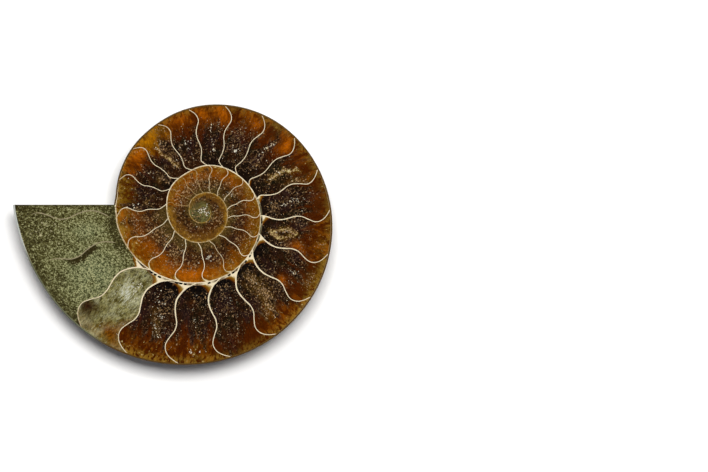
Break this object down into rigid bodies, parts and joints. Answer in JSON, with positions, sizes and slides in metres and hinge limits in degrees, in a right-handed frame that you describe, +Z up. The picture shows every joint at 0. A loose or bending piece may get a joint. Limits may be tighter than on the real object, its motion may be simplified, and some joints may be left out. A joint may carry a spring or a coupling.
{
  "type": "ammonite fossil half",
  "caption": "One half of a coiled ammonite fossil, sawn along its median plane and polished, showing chambers filled with brown calcite; lies on its rounded flank.",
  "frame": {"origin": "centre of the bounding box in plan, at the lowest point of the flank that the half lies on", "axes": "+Z up, out of the polished cut face; +X along the longest side, from the trimmed end of the last whorl to the far rim; +Y towards the side that the trimmed end faces"},
  "size_m": [0.1, 0.0816, 0.013],
  "materials": {
    "fossil_stone": "polished calcite"
  },
  "bodies": {
    "root": {"ammonite_half": "fossil_stone"}
  },
  "joints": []
}
